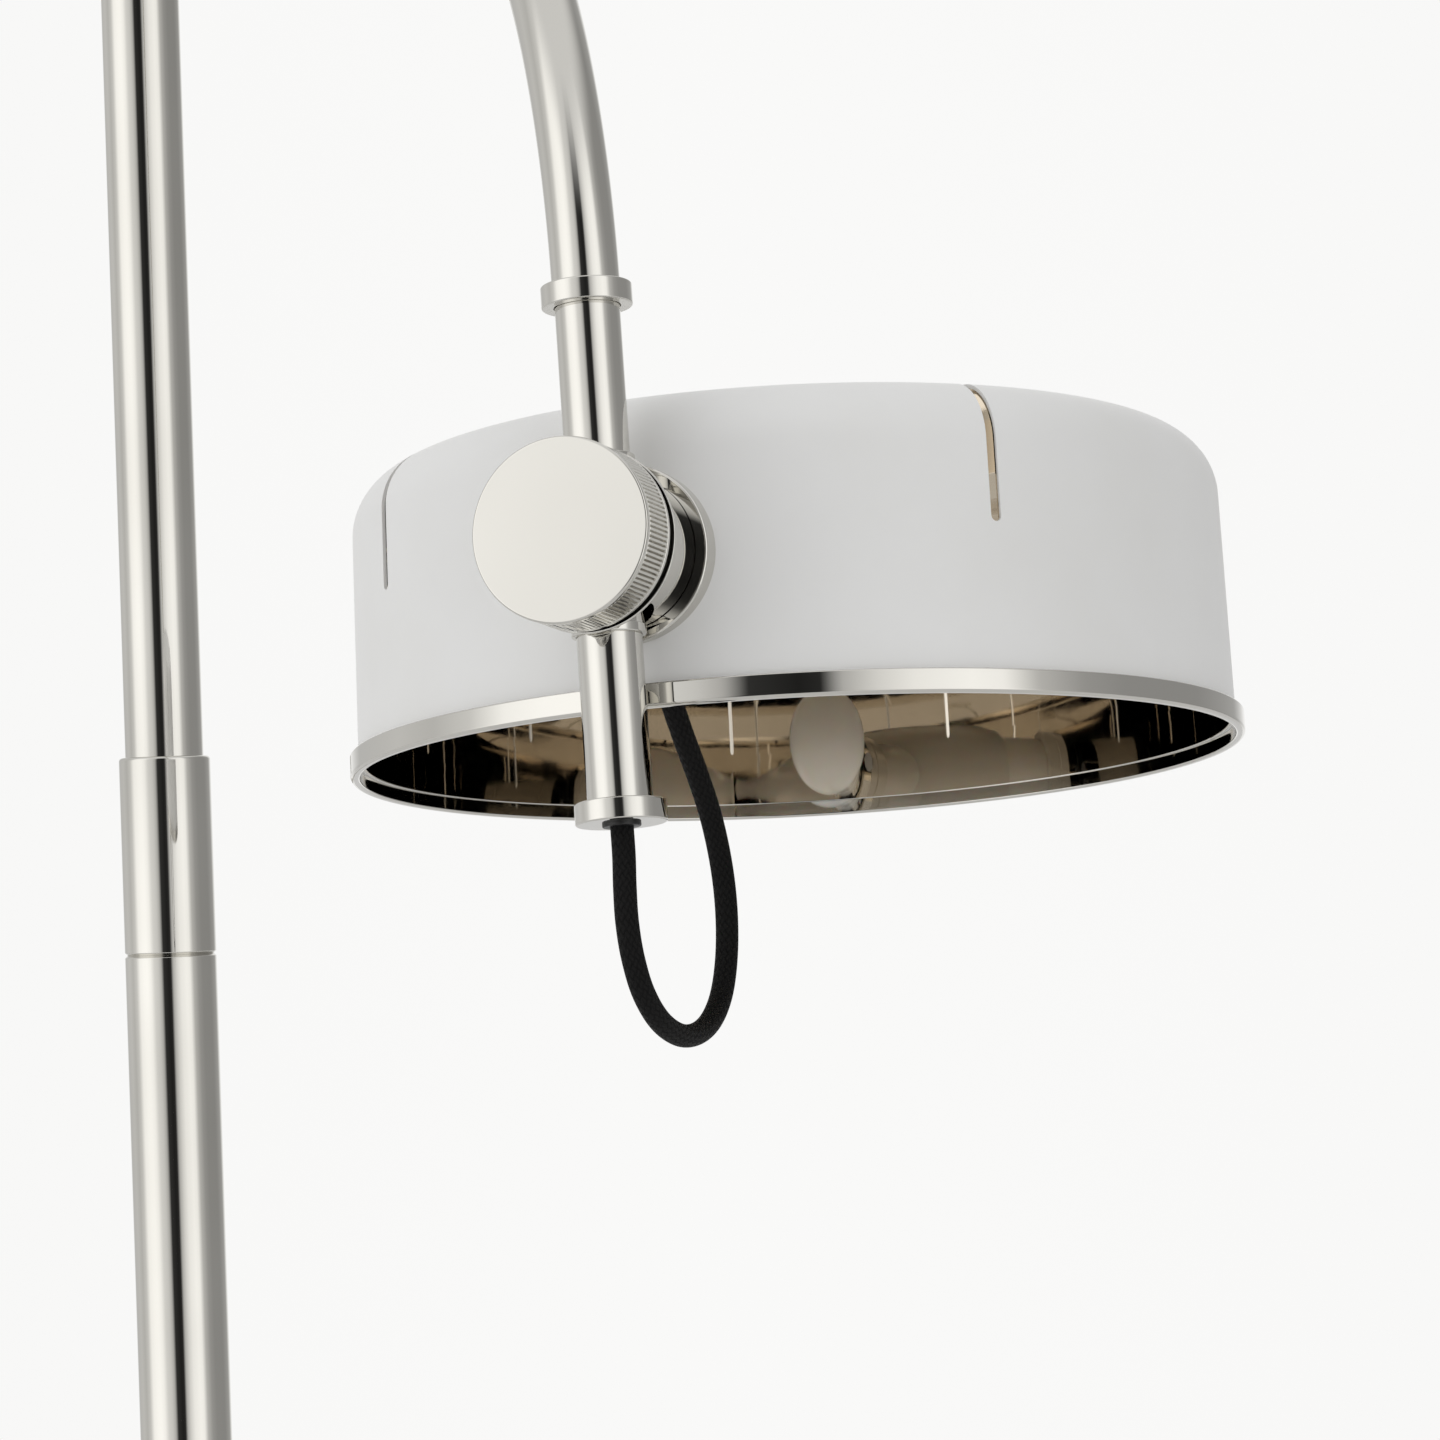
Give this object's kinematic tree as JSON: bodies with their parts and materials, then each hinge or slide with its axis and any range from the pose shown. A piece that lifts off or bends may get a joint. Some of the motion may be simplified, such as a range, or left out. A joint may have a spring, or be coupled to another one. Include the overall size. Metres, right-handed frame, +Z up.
{
  "type": "arc floor lamp",
  "caption": "Arc floor lamp with a weighted round base, polished nickel post and arched arm, and a matt white drum shade that slides, swivels and tilts on a short tube.",
  "frame": {"origin": "middle of the base's underside", "axes": "+Z up, +X from the post towards the shade, +Y to the left of that"},
  "size_m": [1.1553, 0.4444, 2.0329],
  "materials": {
    "polished_nickel": "polished nickel plate",
    "white_enamel": "matt white enamel",
    "nickel_lining": "polished nickel lining",
    "zinc_steel": "zinc-plated steel",
    "brass": "plain turned brass",
    "cast_iron": "black-painted casting",
    "black_rubber": "matt rubber",
    "black_plastic": "black moulded plastic",
    "cable_sheath": "black rubber sheath",
    "nylon": "natural nylon",
    "porcelain": "glazed porcelain white",
    "opal_glass": "opal glass",
    "black_fabric": "black woven textile braid"
  },
  "bodies": {
    "post": {"base_weight": "cast_iron", "base_cover": "polished_nickel", "base_pad": "black_rubber", "base_washer": "zinc_steel", "base_nut": "zinc_steel", "inlet_gland": "black_plastic", "tie_pipe": "brass", "post_plug": "brass", "post_foot": "polished_nickel", "lower_post": "polished_nickel", "post_coupler": "polished_nickel", "upper_post": "polished_nickel", "post_cap": "polished_nickel", "cap_screws": "zinc_steel", "arm_tube": "polished_nickel", "feed_cable": "cable_sheath", "arm_collar": "polished_nickel", "swivel_spindle": "brass", "spindle_nut": "brass"},
    "head": {"head_tube": "polished_nickel", "swivel_bush": "nylon", "end_cap": "polished_nickel", "cord_bush": "black_plastic", "tube_cable": "cable_sheath"},
    "carriage": {"clamp_barrel": "polished_nickel", "tube_bushes": "polished_nickel", "clamp_flange": "polished_nickel", "clamp_pad": "brass", "friction_washer": "black_plastic", "pivot_tube": "zinc_steel", "spring_washer": "zinc_steel", "pivot_nut": "zinc_steel", "holder_cup": "polished_nickel", "cord_gland": "black_plastic", "lampholder": "porcelain", "lamp_cap": "zinc_steel", "lamp_glass": "opal_glass", "lamp_cord": "black_fabric"},
    "knob": {"clamp_knob": "polished_nickel", "knob_screw": "zinc_steel", "knob_ring": "black_plastic"},
    "shade": {"shade_boss": "polished_nickel", "shade_shell": "white_enamel", "shade_liner": "nickel_lining", "rim_ring": "polished_nickel", "wall_saddle": "zinc_steel", "boss_screws": "zinc_steel"}
  },
  "joints": [
    {"name": "head_swivel", "type": "hinge", "parent": "post", "child": "head", "pos_m": [0.904, 0, 1.56], "axis": [-0.134, 0, 0.991], "range_deg": [-145, 145]},
    {"name": "clamp_slide", "type": "slide", "parent": "head", "child": "carriage", "axis": [-0.134, 0, 0.991], "range_m": [-0.045, 0.04], "deforming": ["lamp_cord"]},
    {"name": "shade_tilt", "type": "hinge", "parent": "carriage", "child": "shade", "pos_m": [0.91492, 0, 1.47924], "axis": [-0.8058, 0.5821, -0.1089], "range_deg": [-60, 60]},
    {"name": "knob_turn", "type": "hinge", "parent": "carriage", "child": "knob", "pos_m": [0.91492, 0, 1.47924], "axis": [-0.8058, 0.5821, -0.1089], "range_deg": [0, 360]}
  ]
}
